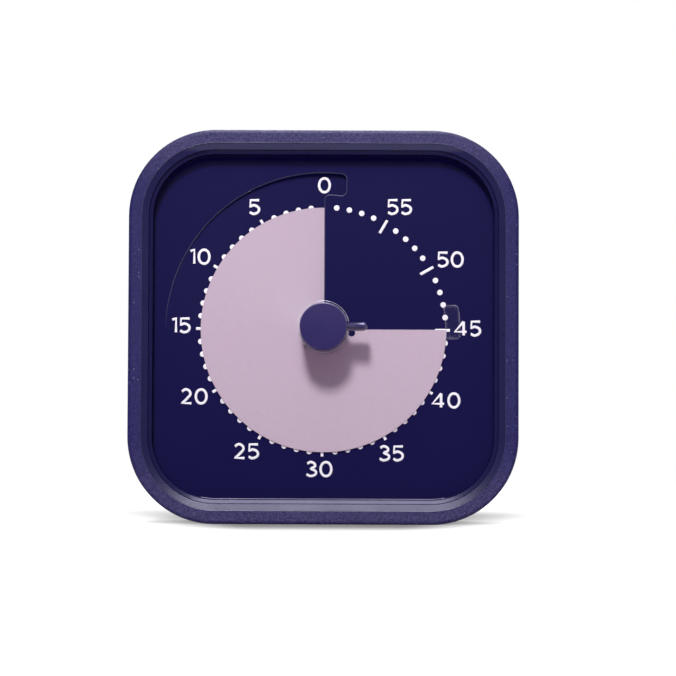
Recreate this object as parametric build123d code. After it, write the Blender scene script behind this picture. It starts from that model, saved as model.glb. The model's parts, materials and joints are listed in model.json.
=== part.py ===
"""Small square sixty-minute countdown timer with a soft cover, in millimetres.

Every piece is drawn in the dial's own frame: X to the right, Y up and Z out of the dial
towards the reader, with Z = 0 at the back of the cover. stand_up() then turns each piece
upright, so that the finished timer faces -Y and stands on Z = 0.
Angles on the dial are counted anticlockwise from twelve o'clock, as the minutes are.
"""
from build123d import *
import os
from math import acos, cos, pi, radians, sin, tan

# ---------------------------------------------------------------- overall form
width = 92.0
height = 93.0
corner_radius = 20.5
body_lift = 0.4
knob_proud = 7.2

# ---------------------------------------------------------------- soft cover
cover_wall = 2.0
cover_fit = 0.05
cover_front_band = 3.05
cover_back_band = 5.0
cover_lip = 1.3
cover_front_round = 0.9
cover_back_round = 1.6

# ---------------------------------------------------------------- hard case
case_wall = 1.8
back_wall = 2.4
split_depth = 24.0
tongue_thickness = 0.8
tongue_height = 1.8
tongue_fit = 0.1

# ---------------------------------------------------------------- bezel and window
recess_depth = 4.6
brim_play = 0.1
brim_setback = 0.2
brim_edge = 0.12
upper_band_width = 1.45
upper_band_drop = 0.35
band_step_width = 0.15
band_step_drop = 0.5
lower_band_width = 0.8
lower_band_drop = 0.45
window_margin = 5.9
window_foot = 0.3
bezel_seat = 1.2

# ---------------------------------------------------------------- dial
dial_thickness = 0.8
dial_fit = 0.15
dial_bore_radius = 4.3
ramp_margin = 2.8
ramp_drop = 1.4
ramp_sweep = 90.0
ramp_run_on = 24.0
ramp_skirt = 1.2
slit_offset = 0.1
slit_fillet = 1.2
rim_edge = 0.2
notch_reach = 5.1
notch_width = 5.3

# ---------------------------------------------------------------- disc, its tab and hub
print_band = 8.2
disc_thickness = 0.3
disc_gap = 0.15
disc_bore_radius = 4.0
disc_dip_sweep = 66.0
disc_hidden_sweep = 88.0
relief_radius = 0.87
relief_reach = 6.65
relief_setback = 0.8
tab_reach = 3.3
tab_lap = 0.25
tab_ahead = 5.85
tab_behind = 2.2
tab_thickness = 0.5
tab_corner = 1.0
hub_flange_thickness = 0.6
hub_sleeve_radius = 3.9
hub_sleeve_reach = 2.6
collar_wall = 0.58
collar_fit = 0.05
collar_setback = 1.3
collar_edge = 0.15

# ---------------------------------------------------------------- knob
knob_radius = 5.5
knob_edge_round = 0.7
knob_wall = 1.1
knob_boss_radius = 2.6
knob_grip_depth = 7.8
lever_reach = 10.4
lever_front_width = 1.5
lever_draft = 4.0
lever_edge = 0.45
lever_depth = 4.6
lever_setback = 1.3
lever_play = 0.15

# ---------------------------------------------------------------- arbor and wheels
arbor_radius = 1.5
running_gap = 0.05
module = 0.4
pressure_angle = 20.0
tooth_backlash = 0.08
wheel_addendum = 0.6
pinion_addendum = 1.0
dedendum = 1.2
centre_teeth = 60
intermediate_pinion_teeth = 10
intermediate_teeth = 48
motor_pinion_teeth = 12
intermediate_bearing = 45.0
motor_bearing = -82.0
wheel_thickness = 1.0
pinion_length = 1.4
wheel_level_gap = 0.8
staff_radius = 0.6
motor_shaft_radius = 0.5
spoke_count = 4
clutch_spring_radius = 3.4
clutch_spring_thickness = 0.25
clutch_spring_rise = 0.6
clutch_collar_radius = 2.3
clutch_collar_thickness = 0.8

# ---------------------------------------------------------------- movement housing
chamber_depth = 5.6
movement_room = 2.6
movement_plate_thickness = 1.6
movement_plate_inset = 1.3
movement_bush_radius = 2.9
movement_bush_reach = 2.4
movement_cover_size = 44.0
movement_cover_radius = 4.0
movement_cover_depth = 10.0
movement_cover_wall = 1.1
movement_lug_radius = 2.6
movement_lug_thickness = 1.6
motor_radius = 6.0
motor_thickness = 3.4

# ---------------------------------------------------------------- screws and their posts
case_screw_inset = 10.45
case_screw_radius = 1.1
case_screw_grip = 3.2
case_boss_radius = 2.7
case_column_radius = 3.4
case_counterbore_depth = 16.7
screw_play = 0.2
head_height = 1.6
head_ratio = 1.85
recess_ratio = 0.9
recess_depth_ratio = 0.55
plate_post_radius = 1.9
small_screw_radius = 0.8
small_screw_length = 4.2
screw_bite = 0.02

# ---------------------------------------------------------------- battery and its door
battery_radius = 7.2
battery_length = 49.3
battery_nub_radius = 2.7
battery_nub_length = 1.2
battery_drop = 22.0
battery_play = 0.35
bay_wall = 1.4
contact_room = 2.2
contact_thickness = 0.3
contact_width = 9.0
contact_dimple = 1.3
door_thickness = 1.4
door_ledge = 1.5
door_play = 0.2
door_corner = 1.5
door_pad_length = 8.0
door_pad_width = 9.0
door_tongue_length = 1.8
door_tongue_width = 6.0
door_tongue_thickness = 0.6
door_tongue_spacing = 10.0
door_rib_height = 0.5
door_rib_width = 0.8
door_rib_pitch = 1.8
door_rib_count = 6
door_rib_length = 14.0
door_swing_room = 1.2
door_screw_length = 6.0

# ---------------------------------------------------------------- electronics
board_width = 38.0
board_height = 20.0
board_thickness = 1.2
board_corner = 1.0
board_x = 14.0
board_y = 13.0
board_standoff = 5.6
board_post_radius = 1.9
chip_length = 8.0
chip_width = 5.0
chip_thickness = 1.5
chip_legs = 4
crystal_radius = 1.0
crystal_length = 6.0
buzzer_radius = 8.5
buzzer_height = 5.6
buzzer_x = -19.0
buzzer_y = 13.0
buzzer_port_radius = 1.5
buzzer_collar = 1.0
sound_slot_length = 11.0
sound_slot_width = 1.2
sound_slot_pitch = 2.6
sound_slot_count = 5
switch_x = 22.0
switch_y = 17.0
switch_length = 9.0
switch_width = 4.4
switch_depth = 3.2
switch_travel = 2.5
slider_length = 2.6
slider_width = 2.6
slider_play = 0.25
slider_proud = 0.7
slider_neck_width = 1.4
slider_rib_count = 3

# ---------------------------------------------------------------- levels, from the back of the cover
case_back = cover_lip
wall_inside = case_back + back_wall
board_back = wall_inside + board_standoff
board_front = board_back + board_thickness
battery_level = case_back + door_thickness + battery_play + battery_radius
battery_y = -battery_drop
bay_floor = battery_level + battery_radius + battery_play
movement_back = bay_floor + bay_wall + movement_room
movement_floor = movement_back + movement_cover_wall
plate_back = movement_back + movement_cover_depth
upper_wheel_top = plate_back - wheel_level_gap
upper_wheel_bottom = upper_wheel_top - wheel_thickness
lower_wheel_top = upper_wheel_bottom - wheel_level_gap
lower_wheel_bottom = lower_wheel_top - wheel_thickness
plate_front = plate_back + movement_plate_thickness
dial_face = plate_front + chamber_depth
dial_back = dial_face - dial_thickness
ramp_foot = dial_face - ramp_drop
disc_low = ramp_foot + disc_gap
disc_high = dial_face + disc_gap
disc_top = disc_high + disc_thickness
hub_top = disc_top + hub_flange_thickness
body_depth = dial_face + recess_depth
case_front = body_depth - cover_lip
brim_front = body_depth - brim_setback
knob_top = body_depth + knob_proud

# ---------------------------------------------------------------- plan sizes
case_width = width - 2 * (cover_wall + cover_fit)
case_height = height - 2 * (cover_wall + cover_fit)
case_corner = corner_radius - cover_wall - cover_fit
case_screw_x = case_width / 2 - case_screw_inset
case_screw_y = case_height / 2 - case_screw_inset
window_width = width - 2 * window_margin
window_height = height - 2 * window_margin
window_radius = corner_radius - window_margin
dial_width = window_width + 2 * bezel_seat
dial_height = window_height + 2 * bezel_seat
dial_corner = window_radius + bezel_seat
movement_plate_width = dial_width - 2 * movement_plate_inset
movement_plate_height = dial_height - 2 * movement_plate_inset
movement_plate_corner = dial_corner - movement_plate_inset
ramp_radius = min(window_width, window_height) / 2 - ramp_margin
plate_post_distance = ramp_radius + ramp_skirt + plate_post_radius
notch_inner_radius = ramp_radius - notch_reach
disc_radius = ramp_radius - print_band
collar_bore = knob_radius + collar_fit
collar_radius = collar_bore + collar_wall
collar_top = knob_top - collar_setback
lever_foot = knob_top - lever_setback - lever_depth
lever_base_width = lever_front_width + 2 * lever_depth * tan(radians(lever_draft))
bay_length = battery_length + battery_nub_length + 2 * contact_room
bay_width = 2 * (battery_radius + battery_play)
door_length = bay_length + 2 * door_ledge
door_width = bay_width + 2 * door_ledge
door_left = -door_length / 2
door_screw_x = door_length / 2 + door_pad_length / 2
upper_mesh_distance = module * (centre_teeth + intermediate_pinion_teeth) / 2
lower_mesh_distance = module * (intermediate_teeth + motor_pinion_teeth) / 2
OVERCUT = 1.0


def on_dial(distance, minutes_angle):
    """X and Y of a point on the dial, its angle counted anticlockwise from twelve o'clock."""
    turn = radians(minutes_angle + 90)
    return distance * cos(turn), distance * sin(turn)


intermediate_x, intermediate_y = on_dial(upper_mesh_distance, intermediate_bearing)
motor_step_x, motor_step_y = on_dial(lower_mesh_distance, motor_bearing)
motor_x = intermediate_x + motor_step_x
motor_y = intermediate_y + motor_step_y


def stand_up(shape):
    """Turn a piece from the dial's frame to the standing timer's."""
    return Pos(0, knob_top / 2, height / 2 - body_lift) * Rot(90, 0, 0) * shape


def at(shape, x, y, z=0.0):
    """A copy of a shape, moved in the dial's frame."""
    return Pos(x, y, z) * shape


def slab(size_x, size_y, radius, low, high):
    """A flat block with rounded corners, centred on the dial's axis."""
    return extrude(Pos(0, 0, low) * RectangleRounded(size_x, size_y, radius), high - low)


def housing_slab(size_x, size_y, radius, low, high):
    """A slab centred in the housing, whose middle lies a little above the dial's axis."""
    return at(slab(size_x, size_y, radius, low, high), 0, body_lift)


def inset_outline(inset, level):
    """The timer's front outline, drawn in by an inset, at a level."""
    size_x = width - 2 * inset
    size_y = height - 2 * inset
    return Pos(0, body_lift, level) * RectangleRounded(size_x, size_y, corner_radius - inset)


def block(size_x, size_y, low, high):
    """A square-cornered block, centred on the dial's axis."""
    return extrude(Pos(0, 0, low) * Rectangle(size_x, size_y), high - low)


def rod(radius, low, high):
    """A cylinder along the dial's axis."""
    return extrude(Pos(0, 0, low) * Circle(radius), high - low)


def turned(*points):
    """A solid turned about the dial's axis from its half section, given as (radius, level)."""
    return revolve(Plane.XZ * make_face(Polyline(*points, close=True)), Axis.Z)


def flat_sector(inner, outer, low, high, start, sweep_angle):
    """A flat ring sector that starts at a dial angle and runs anticlockwise."""
    section = Plane.XZ * Pos((inner + outer) / 2, (low + high) / 2) * Rectangle(outer - inner, high - low)
    return Rot(0, 0, start + 90) * revolve(section, Axis.Z, sweep_angle)


def helical_slab(inner, outer, low, rise, thickness, start, sweep_angle):
    """A ring sector whose underside climbs evenly by rise, like one flight of a spiral ramp."""
    middle = (inner + outer) / 2
    path = Helix(pitch=rise * 360 / sweep_angle, height=rise, radius=middle, center=(0, 0, low))
    section = Plane.XZ * Pos(middle, low + thickness / 2) * Rectangle(outer - inner, thickness)
    return Rot(0, 0, start + 90) * sweep(section, path=path, is_frenet=True)


def screw(radius, length, head_radius):
    """A screw that points along +Z, with the underside of its cross-recessed head at Z = 0."""
    slot = Pos(0, 0, -head_height) * Box(
        2 * head_radius * recess_ratio, head_radius / 3, 2 * head_height * recess_depth_ratio
    )
    return rod(head_radius, -head_height, 0) + rod(radius, 0, length) - slot - Rot(0, 0, 90) * slot


# ================================================================ outer pieces


def silicone_cover():
    """Soft band, held on by a lip over the front edge of the case and one over its back edge."""
    band = housing_slab(width, height, corner_radius, 0, body_depth)
    band = fillet(band.faces().sort_by(Axis.Z)[-1].edges(), cover_front_round)
    band = fillet(band.faces().sort_by(Axis.Z)[0].edges(), cover_back_round)
    fit = 2 * cover_fit
    band -= housing_slab(case_width + fit, case_height + fit, case_corner + cover_fit, case_back, case_front)
    for inset, low, high in (
        (cover_front_band, case_front - OVERCUT, body_depth + OVERCUT),
        (cover_back_band, -OVERCUT, case_back + OVERCUT),
    ):
        band -= extrude(inset_outline(inset, low), high - low)
    return band


def front_case():
    """Bezel and front half of the walls. The bezel's brim stands up inside the cover's lip and
    falls in two sloped bands, then a wall, to the dial, which is pressed against it from behind."""
    shell = housing_slab(case_width, case_height, case_corner, split_depth, case_front)
    brim_inset = cover_front_band + brim_play
    shell += extrude(inset_outline(brim_inset, plate_back), brim_front - plate_back)
    shell = chamfer(shell.edges().group_by(Axis.Z)[-1], brim_edge)
    wall = 2 * case_wall
    seat_low = plate_back
    shell -= housing_slab(
        case_width - wall, case_height - wall, case_corner - case_wall, split_depth - OVERCUT, seat_low
    )
    rebate = 2 * dial_fit
    shell -= housing_slab(
        dial_width + rebate, dial_height + rebate, dial_corner + dial_fit, seat_low - OVERCUT, dial_face
    )
    shell -= loft([inset_outline(inset, level) for inset, level in bezel_section()], ruled=True)
    groove = 2 * (case_wall - tongue_thickness - tongue_fit)
    shell -= housing_slab(
        case_width - groove,
        case_height - groove,
        case_corner - groove / 2,
        split_depth - OVERCUT,
        split_depth + tongue_height + tongue_fit,
    )
    return shell


def bezel_section():
    """Inset and level of each edge of the bezel, from the dial out to the brim."""
    inset, level = cover_front_band + brim_play + brim_edge, brim_front
    edges = [(inset, level)]
    for run, drop in (
        (upper_band_width, upper_band_drop),
        (band_step_width, band_step_drop),
        (lower_band_width, lower_band_drop),
    ):
        inset, level = inset + run, level - drop
        edges.append((inset, level))
    edges.append((window_margin - window_foot, dial_face + window_foot))
    edges.append((window_margin, dial_face))
    return reversed(edges)


def battery_bay():
    """Walls and floor round the battery, closed at the back by the door."""
    bay = block(bay_length + 2 * bay_wall, bay_width + 2 * bay_wall, wall_inside, bay_floor + bay_wall)
    bay -= block(bay_length, bay_width, wall_inside - OVERCUT, bay_floor)
    return at(bay, 0, battery_y)


def door_outline(play):
    """Outline of the battery door, with a pad for its screw at the right-hand end."""
    panel = Pos(0, battery_y) * RectangleRounded(door_length - 2 * play, door_width - 2 * play, door_corner)
    pad = Pos(door_screw_x - door_pad_length / 2, battery_y) * RectangleRounded(
        2 * door_pad_length - 2 * play, door_pad_width - 2 * play, door_corner
    )
    return panel + pad


def case_screw_places():
    """The four corners where a long screw joins the rear case to the dial."""
    return [(side * case_screw_x, body_lift + end * case_screw_y) for side in (-1, 1) for end in (-1, 1)]


def door_tongue_places():
    """Y of the two tongues at the left-hand end of the battery door."""
    return [battery_y + side * door_tongue_spacing / 2 for side in (-1, 1)]


def board_screw_places():
    """The two opposite corners where the circuit board is screwed to its posts."""
    inset = 2 * board_post_radius
    reach_x = board_width / 2 - inset
    reach_y = board_height / 2 - inset
    return [(board_x + side * reach_x, board_y - side * reach_y) for side in (-1, 1)]


def rear_case():
    """Back half of the case, with everything that is fixed to the back wall."""
    shell = housing_slab(case_width, case_height, case_corner, case_back, split_depth)
    wall = 2 * case_wall
    shell -= housing_slab(
        case_width - wall, case_height - wall, case_corner - case_wall, wall_inside, split_depth + OVERCUT
    )
    tongue_outside = 2 * (case_wall - tongue_thickness)
    tongue = housing_slab(
        case_width - tongue_outside,
        case_height - tongue_outside,
        case_corner - tongue_outside / 2,
        split_depth - OVERCUT,
        split_depth + tongue_height,
    )
    tongue -= housing_slab(
        case_width - wall, case_height - wall, case_corner - case_wall, case_back, split_depth + 2 * tongue_height
    )
    shell += tongue

    # battery bay, the recess for its door and the boss for the door's screw
    shell += battery_bay()
    shell += at(rod(case_boss_radius, wall_inside - OVERCUT / 2, case_back + door_screw_length + bay_wall),
                door_screw_x, battery_y)
    shell -= extrude(Pos(0, 0, case_back - OVERCUT) * door_outline(0), door_thickness + OVERCUT)
    shell -= at(block(bay_length, bay_width, case_back, bay_floor), 0, battery_y)
    shell -= at(rod(small_screw_radius + screw_play, case_back, case_back + door_screw_length + OVERCUT / 2),
                door_screw_x, battery_y)
    for tongue_y in door_tongue_places():
        shell -= at(door_tongue_pocket(), door_left, tongue_y)

    # columns for the long screws
    head_seat = case_back + case_counterbore_depth
    for x, y in case_screw_places():
        shell += at(rod(case_column_radius, wall_inside - OVERCUT / 2, plate_back), x, y)
        shell -= at(rod(case_screw_radius + screw_play, case_back, plate_back + OVERCUT), x, y)
        shell -= at(rod(case_screw_radius * head_ratio + screw_play, case_back - OVERCUT, head_seat), x, y)

    # posts for the circuit board
    for x, y in board_screw_places():
        shell += at(rod(board_post_radius, wall_inside - OVERCUT / 2, board_back), x, y)
        shell -= at(rod(small_screw_radius, wall_inside, board_back + OVERCUT), x, y)

    # collar round the buzzer, and the sound slots behind it
    collar = rod(buzzer_radius + screw_play + buzzer_collar, wall_inside - OVERCUT / 2, wall_inside + buzzer_collar)
    collar -= rod(buzzer_radius + screw_play, wall_inside, wall_inside + 2 * buzzer_collar)
    shell += at(collar, buzzer_x, buzzer_y)
    slot = SlotOverall(sound_slot_length, sound_slot_width)
    slots = Sketch() + [place * slot for place in GridLocations(0, sound_slot_pitch, 1, sound_slot_count)]
    shell -= extrude(Pos(buzzer_x, buzzer_y, case_back - OVERCUT) * slots, back_wall + 2 * OVERCUT)

    # slot for the alert switch's slider
    slider_room_x = slider_length + switch_travel + 2 * slider_play
    slider_room_y = slider_width + 2 * slider_play
    shell -= at(block(slider_room_x, slider_room_y, case_back - OVERCUT, wall_inside + OVERCUT), switch_x, switch_y)
    return shell


def door_tongue_pocket():
    """Room for one tongue behind the skin of the back wall, open inwards so that it can swing."""
    reach = door_tongue_length + screw_play
    pocket = block(reach + door_swing_room, door_tongue_width + 2 * door_play,
                   case_back + door_thickness - door_tongue_thickness - door_play / 2, wall_inside + OVERCUT / 4)
    return at(pocket, (door_swing_room - reach) / 2, 0)


def battery_door():
    """Door in the back wall: two tongues at one end, a screw at the other, ribs for the thumb."""
    door = extrude(Pos(0, 0, case_back) * door_outline(door_play), door_thickness)
    tongue = block(
        door_tongue_length + 2 * door_play,
        door_tongue_width,
        case_back + door_thickness - door_tongue_thickness,
        case_back + door_thickness,
    )
    for tongue_y in door_tongue_places():
        door += at(tongue, door_left - door_tongue_length / 2 + door_play, tongue_y)
    rib = Rot(0, 0, 90) * SlotOverall(door_rib_length, door_rib_width)
    ribs = Sketch() + [place * rib for place in GridLocations(door_rib_pitch, 0, door_rib_count, 1)]
    door += extrude(Pos(0, battery_y, case_back) * ribs, -door_rib_height)
    door -= at(rod(small_screw_radius + screw_play, case_back - OVERCUT, case_back + 2 * door_thickness),
               door_screw_x, battery_y)
    door -= at(rod(small_screw_radius * head_ratio + screw_play, case_back - OVERCUT, case_back + door_thickness / 2),
               door_screw_x, battery_y)
    return door


# ================================================================ dial


def ramp_opening():
    """Outline cut out of the dial for the ramp: a quarter disc, the slit and the notch at the zero."""
    disc = Circle(ramp_radius)
    quarter = disc & (Pos((slit_offset - ramp_radius) / 2, ramp_radius / 2)
                      * Rectangle(ramp_radius + slit_offset, ramp_radius))
    notch = (disc - Circle(notch_inner_radius)) & (
        Pos(notch_width / 2, ramp_radius / 2) * Rectangle(notch_width, ramp_radius)
    )
    outline = quarter + notch
    right_side = outline.vertices().filter_by(lambda corner: corner.X > slit_offset / 2 and corner.Y > OVERCUT)
    return fillet(right_side, slit_fillet)


def dial_plate():
    """Moulded dial. From nine to twelve o'clock its face sinks as a spiral ramp, and runs on
    under the upper face, so that the disc can dive through the slit between the two."""
    plate = housing_slab(dial_width, dial_height, dial_corner, dial_back, dial_face)
    plate -= extrude(Pos(0, 0, dial_back - OVERCUT) * ramp_opening(), dial_thickness + 2 * OVERCUT)
    rim_bevel = extrude(Pos(0, 0, dial_face - rim_edge) * ramp_opening(), 2 * rim_edge, taper=-45)
    plate -= rim_bevel & at(block(dial_width, dial_height, dial_back, dial_face + rim_edge), 0, dial_height / 2)
    floor_back = ramp_foot - dial_thickness
    plate += helical_slab(
        dial_bore_radius - OVERCUT,
        ramp_radius + ramp_skirt / 2,
        floor_back,
        ramp_drop,
        dial_thickness,
        0,
        ramp_sweep,
    )
    plate += flat_sector(
        dial_bore_radius, ramp_radius, floor_back, ramp_foot, -ramp_run_on, ramp_run_on
    )
    plate += flat_sector(
        ramp_radius, ramp_radius + ramp_skirt, floor_back, dial_back, -ramp_run_on, ramp_run_on + ramp_sweep
    )
    plate -= rod(dial_bore_radius, floor_back - OVERCUT, dial_face + OVERCUT)
    for x, y in case_screw_places():
        plate += at(rod(case_boss_radius, plate_front, dial_back + OVERCUT / 2), x, y)
        plate -= at(rod(case_screw_radius, plate_front - OVERCUT, plate_front + case_screw_grip + OVERCUT / 2), x, y)
    for x, y in plate_post_places():
        plate += at(rod(plate_post_radius, plate_front, dial_back + OVERCUT / 2), x, y)
        plate -= at(rod(small_screw_radius, plate_front - OVERCUT, plate_front + small_screw_length), x, y)
    return plate


def plate_post_places():
    """The four diagonal posts that hold the movement plate behind the dial."""
    return [on_dial(plate_post_distance, 45 + quarter * 90) for quarter in range(4)]


# ================================================================ disc, tab, hub and knob


def timer_disc():
    """Thin flexible disc with one radial cut. It lies on the dial from the ramp round to its
    leading edge, sinks along the ramp, and runs on behind the dial past the slit."""
    dip = disc_high - disc_low
    flat_sweep = 270 - disc_dip_sweep
    disc = helical_slab(
        disc_bore_radius - OVERCUT, disc_radius + OVERCUT, disc_low, dip, disc_thickness, 0, disc_dip_sweep
    )
    disc &= rod(disc_radius, disc_low, disc_top) - rod(disc_bore_radius, disc_low, disc_top)
    disc += flat_sector(disc_bore_radius, disc_radius, disc_high, disc_top, disc_dip_sweep, flat_sweep)
    disc += flat_sector(disc_bore_radius, disc_radius, disc_low, disc_low + disc_thickness,
                        -disc_hidden_sweep, disc_hidden_sweep)
    return disc - at(rod(relief_radius, disc_high - disc_thickness, disc_top + disc_thickness),
                     relief_reach, -relief_setback)


def disc_tab():
    """Clear tab that laps over the disc's rim at its leading edge."""
    inner = disc_radius - tab_lap
    outer = disc_radius + tab_reach
    plan = (Circle(outer) - Circle(inner)) & (
        Pos((inner + outer) / 2 + tab_lap, (tab_ahead - tab_behind) / 2)
        * Rectangle(2 * (tab_reach + tab_lap), tab_ahead + tab_behind)
    )
    plan = fillet(plan.vertices(), tab_corner)
    return extrude(Pos(0, 0, disc_top) * plan, tab_thickness)


def clear_hub():
    """Clear hub in one piece: a sleeve through the dial, a flange on the disc and a tall collar
    that stands round the knob, with a slot for the lever."""
    sleeve_foot = dial_face - hub_sleeve_reach
    hub = turned(
        (arbor_radius, sleeve_foot),
        (hub_sleeve_radius, sleeve_foot),
        (hub_sleeve_radius, disc_top),
        (collar_radius, disc_top),
        (collar_radius, collar_top),
        (collar_bore, collar_top),
        (collar_bore, hub_top),
        (arbor_radius, hub_top),
    )
    hub = chamfer(hub.edges().group_by(Axis.Z)[-1], collar_edge)
    slot_width = lever_base_width + 2 * lever_play
    slot = block(lever_reach, slot_width, lever_foot - lever_play, collar_top + OVERCUT)
    return hub - at(slot, lever_reach / 2, 0)


def knob():
    """Opaque core with a fin-shaped lever, hollow behind, with a boss on the arbor."""
    core = rod(knob_radius, hub_top, knob_top)
    core = fillet(core.edges().sort_by(Axis.Z)[-1], knob_edge_round)
    core -= rod(knob_radius - knob_wall, hub_top - OVERCUT, hub_top + knob_grip_depth)
    core += rod(knob_boss_radius, hub_top, hub_top + knob_grip_depth + OVERCUT / 2)
    core -= rod(arbor_radius, hub_top - OVERCUT, hub_top + knob_grip_depth)
    lever_plan = Pos(lever_reach / 2, 0) * SlotOverall(lever_reach, lever_base_width)
    lever = extrude(Pos(0, 0, lever_foot) * lever_plan, lever_depth, taper=lever_draft)
    lever = chamfer(lever.faces().sort_by(Axis.Z)[-1].edges(), lever_edge)
    lever -= rod(knob_radius - knob_wall / 2, lever_foot - OVERCUT, knob_top)
    return core + lever


# ================================================================ movement


def gear_outline(teeth, addendum):
    """Face of an involute spur gear with one tooth centred on +X."""
    pitch_radius = module * teeth / 2
    base_radius = pitch_radius * cos(radians(pressure_angle))
    tip_radius = pitch_radius + module * addendum
    root_radius = pitch_radius - module * dedendum
    lowest_flank = max(base_radius, root_radius)

    def involute(radius):
        slope = acos(min(1.0, base_radius / radius))
        return tan(slope) - slope

    half_tooth = pi / (2 * teeth) - tooth_backlash / (2 * pitch_radius) + involute(pitch_radius)
    flank_radii = [lowest_flank, (lowest_flank + tip_radius) / 2, tip_radius]
    flank = [(radius, half_tooth - involute(radius)) for radius in flank_radii]
    if root_radius < base_radius:
        flank.insert(0, (root_radius, half_tooth))
    points = []
    for tooth in range(teeth):
        middle = 2 * pi * tooth / teeth
        rising = [(radius, middle - offset) for radius, offset in flank]
        falling = [(radius, middle + offset) for radius, offset in reversed(flank)]
        points += [(radius * cos(angle), radius * sin(angle)) for radius, angle in rising + falling]
    return make_face(Polyline(*points, close=True))


def spoked_wheel(teeth, hole_radius, hub_radius, bottom):
    """A spoked wheel, a tooth on +X, with a round hub."""
    rim_inside = module * (teeth / 2 - 3.2)
    outline = gear_outline(teeth, wheel_addendum) - Circle(rim_inside)
    spokes = Sketch() + Circle(hub_radius)
    for spoke in range(spoke_count):
        arm = Pos(rim_inside / 2 + module / 2, 0) * Rectangle(rim_inside + module, 2.5 * module)
        spokes += Rot(0, 0, 45 + 360 * spoke / spoke_count) * arm
    outline = outline + spokes - Circle(hole_radius)
    return extrude(Pos(0, 0, bottom) * outline, wheel_thickness)


def mesh_turn(teeth, driver_direction):
    """Turn that puts a gap between teeth towards the gear it meets, in degrees."""
    return driver_direction + 180.0 + 180.0 / teeth


def arbor():
    """Centre shaft: from the movement cover's bush through plate, dial and hub into the knob."""
    shaft = rod(arbor_radius, movement_back, hub_top + knob_grip_depth)
    return chamfer(shaft.edges().sort_by(Axis.Z)[-1], arbor_radius / 5)


def centre_wheel():
    """Sixty-tooth wheel on the arbor, with a tooth towards the intermediate pinion."""
    wheel = spoked_wheel(centre_teeth, arbor_radius, clutch_spring_radius, upper_wheel_bottom)
    return Rot(0, 0, 90 + intermediate_bearing) * wheel


def clutch_spring():
    """Dished washer that presses the wheel's hub, so that the arbor slips when set by hand."""
    top = upper_wheel_bottom
    foot = top - clutch_spring_rise
    return turned(
        (arbor_radius, foot - clutch_spring_thickness),
        (clutch_collar_radius, foot - clutch_spring_thickness),
        (clutch_spring_radius, top - clutch_spring_thickness),
        (clutch_spring_radius, top),
        (clutch_collar_radius, foot),
        (arbor_radius, foot),
    )


def clutch_collar():
    """Collar pressed on the arbor behind the clutch spring."""
    top = upper_wheel_bottom - clutch_spring_rise - clutch_spring_thickness
    collar = rod(clutch_collar_radius, top - clutch_collar_thickness, top)
    return collar - rod(arbor_radius, movement_back, plate_back)


def intermediate_pinion():
    """Ten-leaf pinion in one piece with its staff, whose ends run in the plate and the cover."""
    outline = gear_outline(intermediate_pinion_teeth, pinion_addendum)
    leaves = extrude(Pos(0, 0, upper_wheel_top - pinion_length) * outline, pinion_length)
    direction = 90 + intermediate_bearing
    leaves = Rot(0, 0, mesh_turn(intermediate_pinion_teeth, direction)) * leaves
    staff = rod(staff_radius, movement_back + OVERCUT / 4, plate_back + movement_plate_thickness / 2)
    shoulder = rod(2 * staff_radius, lower_wheel_bottom - wheel_level_gap, upper_wheel_top - pinion_length)
    return at(leaves + staff + shoulder, intermediate_x, intermediate_y)


def intermediate_wheel():
    """Forty-eight-tooth wheel on the staff, with a tooth towards the motor's pinion."""
    wheel = spoked_wheel(intermediate_teeth, 2 * staff_radius, 4 * staff_radius, lower_wheel_bottom)
    return at(Rot(0, 0, 90 + motor_bearing) * wheel, intermediate_x, intermediate_y)


def motor_pinion():
    """Twelve-leaf pinion on the motor's shaft."""
    outline = gear_outline(motor_pinion_teeth, pinion_addendum)
    length = wheel_thickness + wheel_level_gap / 2
    leaves = extrude(Pos(0, 0, lower_wheel_bottom - wheel_level_gap / 4) * outline, length)
    leaves = Rot(0, 0, mesh_turn(motor_pinion_teeth, 90 + motor_bearing)) * leaves
    shaft = rod(motor_shaft_radius, movement_floor + motor_thickness / 2, lower_wheel_top + wheel_level_gap / 2)
    return at(leaves + shaft, motor_x, motor_y)


def drive_motor():
    """Flat stepping motor with its terminal block, seated on the movement cover's floor."""
    can = rod(motor_radius, movement_floor, movement_floor + motor_thickness)
    can = chamfer(can.edges().sort_by(Axis.Z)[-1], motor_thickness / 8)
    terminals = at(block(motor_radius, motor_radius / 2, movement_floor, movement_floor + motor_thickness / 2),
                   0, motor_radius)
    can += terminals
    can -= rod(motor_shaft_radius + running_gap, movement_floor + motor_thickness / 2 - OVERCUT / 4,
               movement_floor + 2 * motor_thickness)
    return at(can, motor_x, motor_y)


def movement_plate():
    """Plate behind the disc chamber. Its bush carries the arbor, its back the wheels."""
    plate = housing_slab(
        movement_plate_width, movement_plate_height, movement_plate_corner, plate_back, plate_front
    )
    plate += rod(movement_bush_radius, plate_front - OVERCUT / 2, plate_front + movement_bush_reach)
    plate -= rod(arbor_radius + running_gap, plate_back - OVERCUT, plate_front + 2 * movement_bush_reach)
    plate -= at(
        rod(staff_radius + running_gap, plate_back - OVERCUT, plate_back + movement_plate_thickness / 2 + OVERCUT / 8),
        intermediate_x,
        intermediate_y,
    )
    for x, y in case_screw_places():
        plate -= at(rod(case_screw_radius + screw_play, plate_back - OVERCUT, plate_front + OVERCUT), x, y)
    for x, y in plate_post_places():
        plate -= at(rod(small_screw_radius + screw_play, plate_back - OVERCUT, plate_front + OVERCUT), x, y)
    for x, y in movement_screw_places():
        plate -= at(rod(small_screw_radius, plate_back - OVERCUT, plate_front + OVERCUT), x, y)
    return plate


def movement_screw_places():
    """Two lugs on opposite sides of the movement cover."""
    reach = movement_cover_size / 2 + movement_lug_radius
    return [(-reach, 0.0), (reach, 0.0)]


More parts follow.
